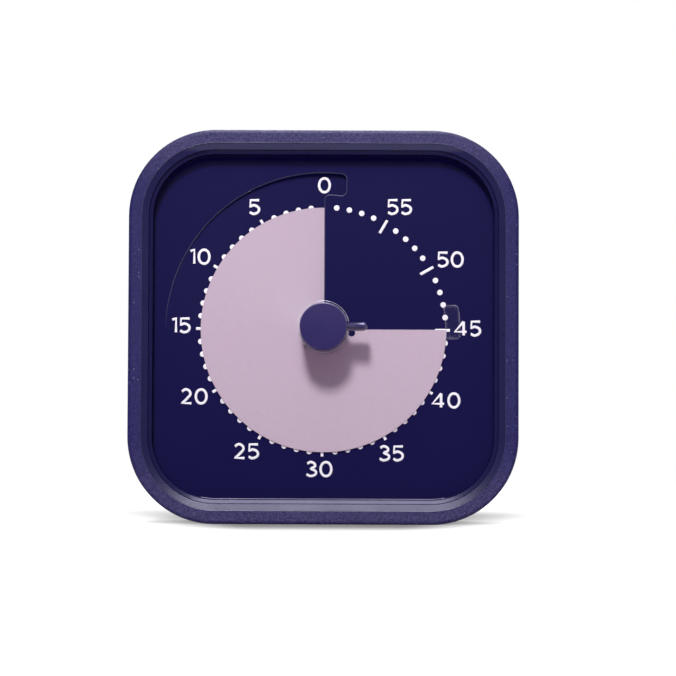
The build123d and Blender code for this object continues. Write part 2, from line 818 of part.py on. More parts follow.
def movement_cover():
    """Shell over the wheels and the motor, screwed to the movement plate by two lugs."""
    size = movement_cover_size
    shell = slab(size, size, movement_cover_radius, movement_back, plate_back)
    inner = size - 2 * movement_cover_wall
    shell -= slab(
        inner, inner, movement_cover_radius - movement_cover_wall, movement_floor, plate_back + OVERCUT
    )
    lug_foot = plate_back - movement_lug_thickness
    for x, y in movement_screw_places():
        lug = at(rod(movement_lug_radius, lug_foot, plate_back), x, y)
        bridge = at(block(movement_lug_radius, 2 * movement_lug_radius, lug_foot, plate_back),
                    x * (1 - movement_lug_radius / abs(x) / 2), y)
        shell += lug + bridge
        shell -= at(rod(small_screw_radius + screw_play, lug_foot - OVERCUT, plate_back + OVERCUT), x, y)
    shell -= rod(arbor_radius + running_gap, movement_back - OVERCUT, movement_floor + OVERCUT)
    shell -= at(rod(staff_radius + running_gap, movement_back - OVERCUT, movement_floor + OVERCUT),
                intermediate_x, intermediate_y)
    return shell


# ================================================================ electronics and battery


def circuit_board():
    """Board on two posts behind the movement, with holes for its screws."""
    board = at(slab(board_width, board_height, board_corner, board_back, board_front), board_x, board_y)
    for x, y in board_screw_places():
        board -= at(rod(small_screw_radius + screw_play, board_back - OVERCUT, board_front + OVERCUT), x, y)
    return board


def control_chip():
    """Small outline chip with its gull-wing legs, on the front of the board."""
    leg_height = chip_thickness / 4
    body = block(chip_length, chip_width, board_front + leg_height / 2, board_front + chip_thickness)
    body = chamfer(body.faces().sort_by(Axis.Z)[-1].edges(), chip_thickness / 8)
    for leg_x, leg_y in ((x, 0) for x in range(chip_legs)):
        offset = (leg_x - (chip_legs - 1) / 2) * chip_length / chip_legs
        leg = block(chip_length / chip_legs / 3, chip_width + 2 * leg_height * 4, board_front, board_front + leg_height)
        body += at(leg, offset, leg_y)
    return at(body, board_x, board_y)


def quartz_crystal():
    """Tuning-fork crystal in its can, lying on the board."""
    can = Rot(0, 90, 0) * Cylinder(crystal_radius, crystal_length)
    can = chamfer(can.edges().sort_by(Axis.X)[-1], crystal_radius / 4)
    return at(can, board_x - board_width / 4, board_y, board_front + crystal_radius)


def buzzer():
    """Round buzzer against the back wall, its port towards the sound slots."""
    can = rod(buzzer_radius, wall_inside, wall_inside + buzzer_height)
    can = chamfer(can.edges().sort_by(Axis.Z)[-1], buzzer_height / 8)
    can -= rod(buzzer_port_radius, wall_inside - OVERCUT, wall_inside + buzzer_height / 2)
    return at(can, buzzer_x, buzzer_y)


def switch_body():
    """Slide switch on the back of the board, with a slot for the slider's neck."""
    low = board_back - switch_depth
    body = block(switch_length, switch_width, low, board_back)
    slot_length = slider_length + switch_travel + 2 * slider_play
    body -= block(slot_length, slider_neck_width + 2 * slider_play, low - OVERCUT, board_back - switch_depth / 3)
    return at(body, switch_x, switch_y)


def alert_slider():
    """Ribbed button of the alert switch, in its left-hand place."""
    rest_x = switch_x - switch_travel / 2
    neck_foot = board_back - switch_depth / 2
    outer = case_back - slider_proud
    head = block(slider_length, slider_width, outer, wall_inside)
    for rib in range(slider_rib_count):
        offset = (rib - (slider_rib_count - 1) / 2) * slider_length / slider_rib_count
        groove = block(slider_length / slider_rib_count / 2, slider_width + OVERCUT, outer - OVERCUT,
                       outer + slider_proud / 3)
        head -= at(groove, offset, 0)
    neck = block(slider_length, slider_neck_width, wall_inside - OVERCUT / 2, neck_foot)
    return at(head + neck, rest_x, switch_y)


def battery():
    """AA cell, its positive end to the right."""
    left = -(battery_length + battery_nub_length) / 2
    profile = Plane.XY * make_face(
        Polyline(
            (left, 0),
            (left, battery_radius - battery_nub_length / 4),
            (left + battery_nub_length / 4, battery_radius),
            (left + battery_length - battery_nub_length / 4, battery_radius),
            (left + battery_length, battery_radius - battery_nub_length / 4),
            (left + battery_length, battery_nub_radius),
            (left + battery_length + battery_nub_length, battery_nub_radius),
            (left + battery_length + battery_nub_length, 0),
            close=True,
        )
    )
    return at(revolve(profile, Axis.X), 0, battery_y, battery_level)


def contact_strip(depth):
    """Bent metal strip against a bay's end wall, with its dimple towards +X."""
    strip = Pos(contact_thickness / 2, 0, 0) * Box(contact_thickness, contact_width, 2 * battery_radius)
    reach = depth - contact_thickness
    dimple = Pos(contact_thickness + reach / 2, 0, 0) * Rot(0, 90, 0) * Cone(2 * contact_dimple, contact_dimple, reach)
    return strip + dimple


def positive_contact():
    """Contact at the right-hand end, against the battery's nub."""
    strip = Rot(0, 0, 180) * contact_strip(contact_room)
    return at(strip, bay_length / 2, battery_y, battery_level)


def negative_contact():
    """Contact at the left-hand end, against the battery's flat base."""
    return at(contact_strip(contact_room), -bay_length / 2, battery_y, battery_level)


# ================================================================ fasteners


def case_screws():
    """Four long screws from the back, through the movement plate, into the dial's bosses."""
    seat = case_back + case_counterbore_depth
    long_screw = screw(case_screw_radius - screw_bite, plate_front + case_screw_grip - seat,
                       case_screw_radius * head_ratio)
    return Compound([at(long_screw, x, y, seat) for x, y in case_screw_places()])


def plate_screws():
    """Four screws that hold the movement plate to the dial's posts."""
    short = screw(small_screw_radius - screw_bite, small_screw_length, small_screw_radius * head_ratio)
    return Compound([at(short, x, y, plate_back) for x, y in plate_post_places()])


def movement_screws():
    """Two screws through the movement cover's lugs."""
    grip = movement_lug_thickness + movement_plate_thickness
    short = screw(small_screw_radius - screw_bite, grip, small_screw_radius * head_ratio)
    return Compound([at(short, x, y, plate_back - movement_lug_thickness) for x, y in movement_screw_places()])


def board_screws():
    """Two screws that hold the circuit board to its posts."""
    short = screw(small_screw_radius - screw_bite, small_screw_length, small_screw_radius * head_ratio)
    return Compound([at(Rot(180, 0, 0) * short, x, y, board_front) for x, y in board_screw_places()])


def door_screw():
    """The battery door's screw, which stays in the door."""
    seat = case_back + door_thickness / 2
    short = screw(small_screw_radius - screw_bite, door_screw_length - door_thickness, small_screw_radius * head_ratio)
    return at(short, door_screw_x, battery_y, seat)


PIECES = (
    silicone_cover,
    front_case,
    rear_case,
    battery_door,
    dial_plate,
    timer_disc,
    disc_tab,
    clear_hub,
    knob,
    arbor,
    centre_wheel,
    clutch_spring,
    clutch_collar,
    intermediate_pinion,
    intermediate_wheel,
    motor_pinion,
    drive_motor,
    movement_plate,
    movement_cover,
    circuit_board,
    control_chip,
    quartz_crystal,
    buzzer,
    switch_body,
    alert_slider,
    battery,
    positive_contact,
    negative_contact,
    case_screws,
    plate_screws,
    movement_screws,
    board_screws,
    door_screw,
)

os.makedirs("parts", exist_ok=True)
for make_piece in PIECES:
    export_step(stand_up(make_piece()), f"parts/{make_piece.__name__}.step")
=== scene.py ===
# %% [markdown]
# Visual countdown timer, dressed for rendering.
# The imported CAD model gives every rigid piece its true size and place. This lesson adds what CAD
# leaves out: the camera, the light, the printed dial, the film of the disc, a few soft and clear
# edges, and a finish with real grain on each surface, dust on the cover, and painted light and shade
# in places. All lengths are metres in the model's own frame: the dial faces -Y, and +Z points up to
# the zero.

import bpy
from math import atan2, cos, degrees, pi, radians, sin
from types import SimpleNamespace
from mathutils import Matrix, Vector
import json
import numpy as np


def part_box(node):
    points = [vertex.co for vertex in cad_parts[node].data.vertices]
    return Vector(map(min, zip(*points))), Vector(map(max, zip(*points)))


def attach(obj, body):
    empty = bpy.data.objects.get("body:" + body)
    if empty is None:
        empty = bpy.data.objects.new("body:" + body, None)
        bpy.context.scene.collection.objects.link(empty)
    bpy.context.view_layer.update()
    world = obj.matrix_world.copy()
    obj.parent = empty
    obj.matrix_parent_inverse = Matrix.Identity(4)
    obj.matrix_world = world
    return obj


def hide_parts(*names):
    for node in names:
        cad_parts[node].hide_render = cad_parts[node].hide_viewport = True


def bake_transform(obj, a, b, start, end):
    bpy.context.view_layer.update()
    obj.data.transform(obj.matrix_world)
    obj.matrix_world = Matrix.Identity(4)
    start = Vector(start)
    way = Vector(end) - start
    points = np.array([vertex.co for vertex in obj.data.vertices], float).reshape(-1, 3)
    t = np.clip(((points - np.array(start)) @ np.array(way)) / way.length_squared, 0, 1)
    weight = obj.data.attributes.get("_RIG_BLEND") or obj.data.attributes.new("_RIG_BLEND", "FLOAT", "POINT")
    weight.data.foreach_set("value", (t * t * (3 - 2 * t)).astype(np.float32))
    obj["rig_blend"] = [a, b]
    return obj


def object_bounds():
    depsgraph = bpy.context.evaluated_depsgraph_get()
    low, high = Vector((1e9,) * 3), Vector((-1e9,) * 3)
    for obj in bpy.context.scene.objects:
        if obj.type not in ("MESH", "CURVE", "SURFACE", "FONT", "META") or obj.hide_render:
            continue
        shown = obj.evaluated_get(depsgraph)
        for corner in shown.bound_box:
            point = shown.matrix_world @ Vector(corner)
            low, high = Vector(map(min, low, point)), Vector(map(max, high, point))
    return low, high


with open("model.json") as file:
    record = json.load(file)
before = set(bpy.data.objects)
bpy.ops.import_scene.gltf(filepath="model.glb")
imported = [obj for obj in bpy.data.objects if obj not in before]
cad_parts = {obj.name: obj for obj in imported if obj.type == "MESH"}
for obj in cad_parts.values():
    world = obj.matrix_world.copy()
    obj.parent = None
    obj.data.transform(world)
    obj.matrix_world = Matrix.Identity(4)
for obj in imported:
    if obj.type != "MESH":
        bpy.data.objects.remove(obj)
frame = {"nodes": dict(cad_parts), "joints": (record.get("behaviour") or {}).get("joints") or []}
cad_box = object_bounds()
nodes = frame["nodes"]
mm = 0.001
print("CAD nodes:", len(nodes), "box:", [round(v / mm, 1) for corner in cad_box for v in corner])

# %% [markdown]
# Places are read from the frame, so that nothing has to be fitted by eye. The setting knob's
# joint gives the dial's centre, and its depth gives the dial's face.

# %% The dial's centre
setting = [joint for joint in frame["joints"] if joint["name"] == "time_setting"][0]
dial_centre = Vector(setting["pos_m"])
dial_face = dial_centre.y
print("dial centre:", [round(v / mm, 2) for v in dial_centre])

# %% [markdown]
# Camera. The timer is seen almost straight on, from low down: the lens is close to the table and
# looks slightly up. The rest of the height could come from tilting it more, but then the sides
# would lean, so it comes from a small vertical shift. A long lens keeps the square outline nearly
# square.

# %% Camera
camera_place = (3.5 * mm, -538.2 * mm, 11.5 * mm)
camera_upward = 2.0
camera_roll = 0.24
camera_data = bpy.data.cameras.new("camera")
camera_data.lens = 118
camera_data.sensor_width = 36
camera_data.shift_y = 0.089
camera_data.clip_end = 50
camera = bpy.data.objects.new("camera", camera_data)
bpy.context.scene.collection.objects.link(camera)
camera.matrix_world = (
    Matrix.Translation(camera_place)
    @ Matrix.Rotation(radians(90 + camera_upward), 4, "X")
    @ Matrix.Rotation(radians(camera_roll), 4, "Z")
)
bpy.context.scene.camera = camera
bpy.context.scene.view_settings.view_transform = "Standard"
print("camera at", [round(v, 4) for v in camera.location])

# %% [markdown]
# Materials are built from nodes, and a few small functions keep that readable. In all of them a
# value is either plain, a number or a colour of three numbers, or it is a pair: a node and the
# name or the number of one of its outputs. A function that works out a number gives such a pair
# back, and one that mixes colours or shaders gives its node.

# %% Nodes and their links
def node_tree(owner):
    owner.use_nodes = True
    owner.node_tree.nodes.clear()
    return owner.node_tree


def add_node(tree, kind, **values):
    """A node with its sockets set by name, and its options by attribute."""
    node = tree.nodes.new(kind)
    for key, value in values.items():
        name = key.replace("_", " ")
        if name in node.inputs:
            node.inputs[name].default_value = value
        else:
            setattr(node, key, value)
    return node


def join(tree, source, output, target, socket):
    tree.links.new(source.outputs[output], target.inputs[socket])


def feed(tree, value, target, socket):
    """Gives a socket a value: a number, a colour, or a node and the name of its output."""
    if not isinstance(value, tuple):
        target.inputs[socket].default_value = value
    elif len(value) == 2:
        join(tree, value[0], value[1], target, socket)
    else:
        target.inputs[socket].default_value = (*value, 1)


print("node helpers:", [helper.__name__ for helper in (node_tree, add_node, join, feed)])

# %% Nodes that work something out
mix_share, mix_first, mix_second, mix_colour = 0, 6, 7, 2


def maths(tree, operation, first, second=0.0):
    node = add_node(tree, "ShaderNodeMath", operation=operation)
    feed(tree, first, node, 0)
    feed(tree, second, node, 1)
    return node, 0


def ease(tree, value, start, end):
    """Rises smoothly from 0, where the value is at its start, to 1 at its end."""
    node = add_node(tree, "ShaderNodeMapRange", interpolation_type="SMOOTHSTEP",
                    From_Min=start, From_Max=end, To_Min=0.0, To_Max=1.0)
    feed(tree, value, node, "Value")
    return node, "Result"


def colour_mix(tree, share, first, second):
    """A node that goes from a first colour to a second as the share goes from 0 to 1."""
    node = add_node(tree, "ShaderNodeMix", data_type="RGBA")
    feed(tree, share, node, mix_share)
    feed(tree, first, node, mix_first)
    feed(tree, second, node, mix_second)
    return node


def shader_mix(tree, share, first, second):
    node = add_node(tree, "ShaderNodeMixShader")
    feed(tree, share, node, 0)
    join(tree, first, 0, node, 1)
    join(tree, second, 0, node, 2)
    return node


def axes(tree, kind="Object"):
    """A node with the X, Y and Z of the place on a piece or, with Normal, of where a face looks."""
    source = add_node(tree, "ShaderNodeTexCoord")
    parts = add_node(tree, "ShaderNodeSeparateXYZ")
    join(tree, source, kind, parts, 0)
    return parts


def seen_rays(tree):
    """1 for rays from the camera, a glossy surface or a clear one, and 0 for the others."""
    path = add_node(tree, "ShaderNodeLightPath")
    straight = maths(tree, "MAXIMUM", (path, "Is Camera Ray"), (path, "Is Transmission Ray"))
    return maths(tree, "MAXIMUM", straight, (path, "Is Glossy Ray"))


print("colour mix: sockets", mix_first, "and", mix_second, "to output", mix_colour)

# %% [markdown]
# Floor and background. A plain pale floor throws some light back on the timer. What the camera
# and the glossy and clear surfaces see of it is made brighter by a plain glow, so that it runs
# into the white background without a horizon. Close to the foot the glow fades in a soft patch of
# painted shadow, wider behind the timer than before it and leaning a little to the left, as shade
# gathers in the gap under a rounded edge: it paints the contact shadow and the cast shadow on the
# floor, over the real shadows that the lamps cast on its lit part.

# %% The patch of painted shadow on the floor
patch_half_width = 36 * mm
patch_spread = 0.19
patch_lean = 0.010
patch_sides = (1.38, 0.58)
patch_front = (-103 * mm, -30 * mm)
patch_back = (320 * mm, 60 * mm)
patch_depth = 0.95


def shade_patch(tree):
    """How strong the painted shadow is: 1 under the timer and 0 outside the patch. Its sides spread and lean
    with the depth.
    """
    spot = axes(tree)
    lean = maths(tree, "MULTIPLY", (spot, "Y"), patch_lean)
    aside = maths(tree, "ABSOLUTE", maths(tree, "ADD", (spot, "X"), lean))
    spread = maths(tree, "MULTIPLY", (spot, "Y"), patch_spread)
    half_width = maths(tree, "ADD", spread, patch_half_width)
    beside = ease(tree, maths(tree, "DIVIDE", aside, half_width), *patch_sides)
    from_front, from_back = (ease(tree, (spot, "Y"), *ends) for ends in (patch_front, patch_back))
    length = maths(tree, "MULTIPLY", from_front, from_back)
    return maths(tree, "MULTIPLY", length, beside)


print("patch, half as wide as:", round(patch_half_width / mm), "mm at the timer's middle")

# %% Floor
floor_size = 6.0


def added(name):
    """The object that an add operator has just made, with its name."""
    piece = bpy.context.active_object
    piece.name = name
    piece.data.name = name
    return piece


bpy.ops.mesh.primitive_plane_add(size=floor_size, location=(0, 0, 0))
floor = added("floor")

paper = bpy.data.materials.new("floor_paper")
tree = node_tree(paper)
thrown = add_node(tree, "ShaderNodeBsdfDiffuse", Color=(0.48, 0.37, 0.48, 1))
seen = add_node(tree, "ShaderNodeBsdfDiffuse", Color=(0.30, 0.30, 0.30, 1))
glow = add_node(tree, "ShaderNodeEmission", Color=(1, 1, 1, 1))
# Painted shadow: inside the patch the glow dims.
dimming = maths(tree, "MULTIPLY", shade_patch(tree), -patch_depth)
feed(tree, maths(tree, "ADD", dimming, 1.0), glow, "Strength")
bright = add_node(tree, "ShaderNodeAddShader")
join(tree, seen, 0, bright, 0)
join(tree, glow, 0, bright, 1)
paper_out = add_node(tree, "ShaderNodeOutputMaterial")
join(tree, shader_mix(tree, seen_rays(tree), thrown, bright), 0, paper_out, 0)
floor.data.materials.append(paper)
print("floor:", floor_size, "m, nodes in its paper:", len(tree.nodes))

# %% World
world = bpy.data.worlds.new("studio")
bpy.context.scene.world = world
tree = node_tree(world)
room = add_node(tree, "ShaderNodeBackground", Color=(1.0, 0.82, 1.0, 1), Strength=0.08)
white = add_node(tree, "ShaderNodeBackground", Color=(1, 1, 1, 1), Strength=1.0)
world_out = add_node(tree, "ShaderNodeOutputWorld")
join(tree, shader_mix(tree, seen_rays(tree), room, white), 0, world_out, 0)
print("world:", world.name)

# %% [markdown]
# Light. A picture of a room could light the timer, but with soft boxes each lamp has one job that
# can be set by itself. One hangs above the camera and a little to the left: its height sets how
# far the knob's shadow falls down the disc, and its size sets how soft that shadow's edge is. A
# wide box behind and above rounds off the top edge and lays the shadow on the floor, and a weak
# one at the right opens up that side. Three more boxes, one over the other, are seen only in
# gloss: they draw the bright lines on the bezel's lower bands, as the ceiling of a bright room
# does.

# %% Lamps
glint_tint = (0.86, 0.82, 1.0)


def soft_box(name, direction, distance, size, power):
    """A square lamp that looks at the middle of the dial from a direction."""
    lamp = bpy.data.lights.new(name, "AREA")
    lamp.shape = "SQUARE"
    lamp.size = size
    lamp.energy = power
    holder = bpy.data.objects.new(name, lamp)
    bpy.context.scene.collection.objects.link(holder)
    away = Vector(direction).normalized()
    holder.location = dial_centre + away * distance
    holder.rotation_euler = away.to_track_quat("Z", "Y").to_euler()
    return holder


lamps = [
    soft_box("key_box", direction=(-0.095, -0.773, 0.629), distance=1.5, size=0.24, power=19.0),
    soft_box("top_box", direction=(0.1, 0.75, 0.9), distance=1.4, size=1.0, power=22.0),
    soft_box("side_box", direction=(0.9, -0.35, 0.35), distance=1.6, size=0.9, power=0.7),
]
glints = [
    soft_box("glint_low", direction=(0.02, -0.87, 0.46), distance=1.2, size=0.35, power=17.5),
    soft_box("glint_high", direction=(0.0, -0.58, 0.8), distance=1.2, size=0.5, power=37.0),
    soft_box("glint_over", direction=(0.0, -0.1, 1.0), distance=1.2, size=0.5, power=14.0),
]
for glint in glints:
    glint.visible_diffuse = False
    glint.data.color = glint_tint
print("lamps:", [lamp.name for lamp in lamps + glints])

# %% [markdown]
# Finishes. No real surface has one flat colour. Every finish starts from the same pattern: a slow
# noise that lets the colour drift between two close tones, and the gloss with it, and a fine grain
# that lifts the surface a little. A picture of the material would do too, but then each piece has
# to be unwrapped first. The noises read Object coordinates, so a pattern stays put on its piece at
# its real scale. A noise seldom leaves the middle of its range, so the gloss is stretched over it.

# %% A mottled surface with grain
noise_low, noise_high = 0.3, 0.7
grain_depth = 0.5 * mm


def surface(name, tone_a, tone_b, drift, roughness, lift, grain=None, **shader):
    """A finish whose colour drifts between two tones, with the nodes that other cells change."""
    material = bpy.data.materials.new(name)
    tree = node_tree(material)
    place = add_node(tree, "ShaderNodeTexCoord")
    principled = add_node(tree, "ShaderNodeBsdfPrincipled", **shader)
    output = add_node(tree, "ShaderNodeOutputMaterial")
    join(tree, principled, 0, output, 0)

    cloud = add_node(tree, "ShaderNodeTexNoise", Scale=drift, Detail=4.0, Roughness=0.6)
    join(tree, place, "Object", cloud, "Vector")
    tones = colour_mix(tree, (cloud, "Fac"), tone_a, tone_b)
    join(tree, tones, mix_colour, principled, "Base Color")
    gloss = add_node(tree, "ShaderNodeMapRange", From_Min=noise_low, From_Max=noise_high,
                     To_Min=roughness[0], To_Max=roughness[1])
    join(tree, cloud, "Fac", gloss, "Value")
    join(tree, gloss, "Result", principled, "Roughness")

    pores = None
    if lift:
        pores = add_node(tree, "ShaderNodeTexNoise", Scale=grain, Detail=2.0, Roughness=0.5)
        bump = add_node(tree, "ShaderNodeBump", Strength=lift, Distance=grain_depth)
        join(tree, place, "Object", pores, "Vector")
        join(tree, pores, "Fac", bump, "Height")
        join(tree, bump, "Normal", principled, "Normal")
    return SimpleNamespace(material=material, tree=tree, shader=principled, place=place,
                           cloud=cloud, tones=tones, pores=pores)


def dress(piece, finish):
    """Gives a piece, or the object of a CAD node, its one finish."""
    piece.data.materials.clear()
    piece.data.materials.append(finish.material)


print("gloss follows the noise from", noise_low, "to", noise_high)

# %% [markdown]
# A moulded surface is textured where it faces the front or the back, because that side of the
# mould is, and smoother on its rims, bevels and walls. Each kind of face could get a material of
# its own, but then a rounded edge would show where one stops. So the gloss is set by the way that
# a face looks. A face counts as square to Y when the Y of its normal is nearly 1.

# %% Gloss by the way a face looks
edge_facing, square_facing = 0.8, 0.985
gloss_socket = "Specular IOR Level"


def squareness(tree):
    """1 for what faces along Y, and 0 for a wall."""
    return maths(tree, "ABSOLUTE", (axes(tree, "Normal"), "Y"))


def polish_edges(finish, face_level, edge_level):
    """One level of gloss for what faces along Y, and another for bevels, rims and walls."""
    level = add_node(finish.tree, "ShaderNodeMapRange", From_Min=edge_facing, From_Max=square_facing,
                     To_Min=edge_level, To_Max=face_level)
    feed(finish.tree, squareness(finish.tree), level, "Value")
    finish.shader.inputs[gloss_socket].default_value = face_level
    join(finish.tree, level, "Result", finish.shader, gloss_socket)
    return level, "Result"


print("a face is square from", square_facing, "up, and an edge from", edge_facing, "down")

# %% [markdown]
# Silicone. The soft cover is a deep blue violet with a fine pebbled mottle, and like all silicone
# it catches dust and lint. The mottle is a noise of half-millimetre grains with its contrast
# raised. Over it lies a thin pale bloom, partly dust and partly painted light. It could be painted
# on by hand, but heights and depths on the piece tell well enough where it goes: over the top and
# under the bottom, lighter where light falls on them, and most of all along the front's top edge,
# where it is a painted highlight. It lies in clumps, which follow the mottle. The lint is a
# scattered pattern of cells, and a cell is coloured only near its centre and only if its random
# value is high.

# %% Dust, painted light and lint
cad_top = cad_box[1][2]
cover_low, cover_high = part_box("silicone_cover")
top_dust_and_light = (78 * mm, 92 * mm)
bottom_dust_and_light = (22 * mm, 2 * mm)
crest_heights = (cad_top - 1.0 * mm, cad_top - 0.3 * mm)
crest_depths = (cover_low.y + 1.6 * mm, cover_low.y + 0.8 * mm)
clump_range = (-0.9, 1.9)
clump_strength = 2.0


def dust_and_painted_light(tree, base, clumps, colour, over, under, crest):
    """A bloom of a colour over a base, partly dust and partly painted light: a share of it over the top side,
    another under the bottom, and a painted highlight on the crest of the front's top edge, each made uneven
    by the clumps."""
    spot = axes(tree)
    height, depth = (spot, "Z"), (spot, "Y")
    share_over = maths(tree, "MULTIPLY", ease(tree, height, *top_dust_and_light), over)
    share_under = maths(tree, "MULTIPLY", ease(tree, height, *bottom_dust_and_light), under)
    on_crest = maths(tree, "MULTIPLY", ease(tree, height, *crest_heights), ease(tree, depth, *crest_depths))
    share_crest = maths(tree, "MULTIPLY", on_crest, crest)
    sides = maths(tree, "ADD", share_over, share_under)
    even = maths(tree, "ADD", sides, share_crest)
    uneven = maths(tree, "MULTIPLY", ease(tree, clumps, *clump_range), clump_strength)
    return colour_mix(tree, maths(tree, "MULTIPLY", even, uneven), base, colour), mix_colour


def scatter(tree, base, colour, scale, size, share, shift):
    """Small round specks of a colour over a base, one for each chosen cell of a pattern."""
    place = add_node(tree, "ShaderNodeTexCoord")
    moved = add_node(tree, "ShaderNodeMapping", Location=shift)
    cells = add_node(tree, "ShaderNodeTexVoronoi", Scale=scale, Randomness=1.0)
    chosen = add_node(tree, "ShaderNodeSeparateColor")
    join(tree, place, "Object", moved, "Vector")
    join(tree, moved, "Vector", cells, "Vector")
    join(tree, cells, "Color", chosen, 0)
    near = maths(tree, "LESS_THAN", (cells, "Distance"), size)
    rare = maths(tree, "GREATER_THAN", (chosen, 0), 1 - share)
    return colour_mix(tree, maths(tree, "MULTIPLY", near, rare), base, colour), mix_colour


print("dust over", [round(v / mm) for v in top_dust_and_light], "and under", [round(v / mm) for v in bottom_dust_and_light])

# %% Silicone cover
mottle_low, mottle_high = 0.36, 0.64
silicone = surface(
    "cover_silicone", (0.0092, 0.0080, 0.069), (0.0260, 0.0236, 0.127), drift=2400.0,
    roughness=(0.50, 0.60), grain=2600.0, lift=0.16, Specular_IOR_Level=0.07,
)
contrast = add_node(silicone.tree, "ShaderNodeMapRange", From_Min=mottle_low, From_Max=mottle_high,
                    To_Min=0.0, To_Max=1.0)
join(silicone.tree, silicone.cloud, "Fac", contrast, "Value")
join(silicone.tree, contrast, "Result", silicone.tones, mix_share)
# The bloom: dust, with painted light on the top and bottom and a painted highlight on the crest.
bloom = dust_and_painted_light(silicone.tree, (silicone.tones, mix_colour), (contrast, "Result"), (0.33, 0.31, 0.46),
             over=0.09, under=0.095, crest=0.18)
lint = scatter(silicone.tree, bloom, (0.10, 0.10, 0.20), scale=900.0, size=0.17, share=0.22,
               shift=(1.7, 1.19, 2.21))
feed(silicone.tree, lint, silicone.shader, "Base Color")
dress(nodes["silicone_cover"], silicone)
print("silicone: nodes", len(silicone.tree.nodes))

# %% [markdown]
# Hard plastics. The bezel, the rear case and the door are moulded in one violet blue with a satin
# texture. Where walls come close together little light gets in, and their gloss would show a room
# that isn't there, so such nooks get a painted shade, a darker base colour, and less gloss; Ambient
# Occlusion tells how open a place is. Near the top of the case the gloss is raised, so that the
# bezel's top band shows a brighter reflection.

# %% The case: painted shade in nooks, and more gloss at the top
nook_reach = 6 * mm
painted_nook_shade = (0.0040, 0.0034, 0.018)
nook_opens = (0.55, 0.9)
top_gloss_heights = (cad_top - 5.6 * mm, cad_top - 4.2 * mm)
top_gloss_boost = 2.0
case_plastic = surface("case_plastic", (0.0060, 0.0052, 0.052), (0.0080, 0.0070, 0.062), drift=90.0,
                       roughness=(0.25, 0.31), grain=4200.0, lift=0.03)
tree = case_plastic.tree
polish = polish_edges(case_plastic, face_level=0.12, edge_level=0.07)
openness = (add_node(tree, "ShaderNodeAmbientOcclusion", Distance=nook_reach), "AO")
height = (axes(tree), "Z")
# More gloss near the top, for a brighter reflection on the bezel's top band.
top_gloss = maths(tree, "MULTIPLY", ease(tree, height, *top_gloss_heights), top_gloss_boost)
gloss_share = maths(tree, "ADD", top_gloss, ease(tree, openness, *nook_opens))
feed(tree, maths(tree, "MULTIPLY", polish, gloss_share), case_plastic.shader, gloss_socket)
# Painted shade: the base colour darkens towards the nook shade where little light gets in.
darkened = colour_mix(tree, openness, painted_nook_shade, (case_plastic.tones, mix_colour))
join(tree, darkened, mix_colour, case_plastic.shader, "Base Color")
for name in ("front_case", "rear_case", "battery_door"):
    dress(nodes[name], case_plastic)
print("case plastic: nodes", len(tree.nodes))

# %% [markdown]
# The dial is darker and smoother than the case, with bright rims round the ramp, and the knob is a
# shade lighter. The small mouldings behind them are plain: dark ones for the switch, the chip, the
# buzzer and the movement, and natural acetal, which lets some light in, for the wheels.

# %% The other plastics
dial_plastic = surface("dial_plastic", (0.0036, 0.0025, 0.0530), (0.0045, 0.0033, 0.0585), drift=60.0,
                       roughness=(0.44, 0.52), grain=5200.0, lift=0.03)
polish_edges(dial_plastic, face_level=0.03, edge_level=0.9)
knob_plastic = surface("knob_plastic", (0.0205, 0.0140, 0.096), (0.0250, 0.0175, 0.109), drift=200.0,
                       roughness=(0.36, 0.44), grain=4800.0, lift=0.04)
polish_edges(knob_plastic, face_level=0.07, edge_level=0.7)
button_plastic = surface("button_plastic", (0.020, 0.020, 0.022), (0.026, 0.026, 0.028), drift=300.0,
                         roughness=(0.4, 0.5), grain=5000.0, lift=0.05)
movement_plastic = surface("movement_plastic", (0.030, 0.030, 0.032), (0.038, 0.038, 0.040), drift=150.0,
                           roughness=(0.45, 0.55), grain=3000.0, lift=0.08)
black_plastic = surface("black_plastic", (0.015, 0.015, 0.016), (0.022, 0.022, 0.023), drift=300.0,
                        roughness=(0.35, 0.45), grain=5000.0, lift=0.04)
wheel_plastic = surface("wheel_plastic", (0.74, 0.72, 0.64), (0.80, 0.78, 0.71), drift=250.0,
                        roughness=(0.35, 0.45), grain=4000.0, lift=0.02, Subsurface_Weight=0.1)
dress(nodes["dial_plate"], dial_plastic)
dress(nodes["alert_slider"], button_plastic)
for name in ("movement_plate", "movement_cover"):
    dress(nodes[name], movement_plastic)
for name in ("control_chip", "buzzer"):
    dress(nodes[name], black_plastic)
for name in ("centre_wheel", "intermediate_wheel"):
    dress(nodes[name], wheel_plastic)
print("materials so far:", len(bpy.data.materials))

# %% [markdown]
# Pieces are modelled with Blender's own operators, as by hand, and every step shares a few small
# helpers. An operator works on whatever is selected, so each new piece starts with nothing else
# selected and ends with its place stored in its mesh.

# %% Selection and clean-up helpers
def deselect_all():
    for item in bpy.context.selected_objects:
        item.select_set(False)
    bpy.context.view_layer.objects.active = None


def only(piece):
    deselect_all()
    piece.select_set(True)
    bpy.context.view_layer.objects.active = piece
    return piece


def edit(piece, mode="FACE"):
    only(piece)
    bpy.ops.object.mode_set(mode="EDIT")
    bpy.ops.mesh.select_mode(type=mode)
    bpy.ops.mesh.select_all(action="DESELECT")


def leave_edit():
    bpy.ops.object.mode_set(mode="OBJECT")


def settle(piece):
    """Stores the object's place in its mesh."""
    only(piece)
    bpy.ops.object.transform_apply(location=True, rotation=True, scale=True)
    return piece


def apply_modifiers(piece):
    only(piece)
    for modifier in list(piece.modifiers):
        bpy.ops.object.modifier_apply(modifier=modifier.name)
    return piece


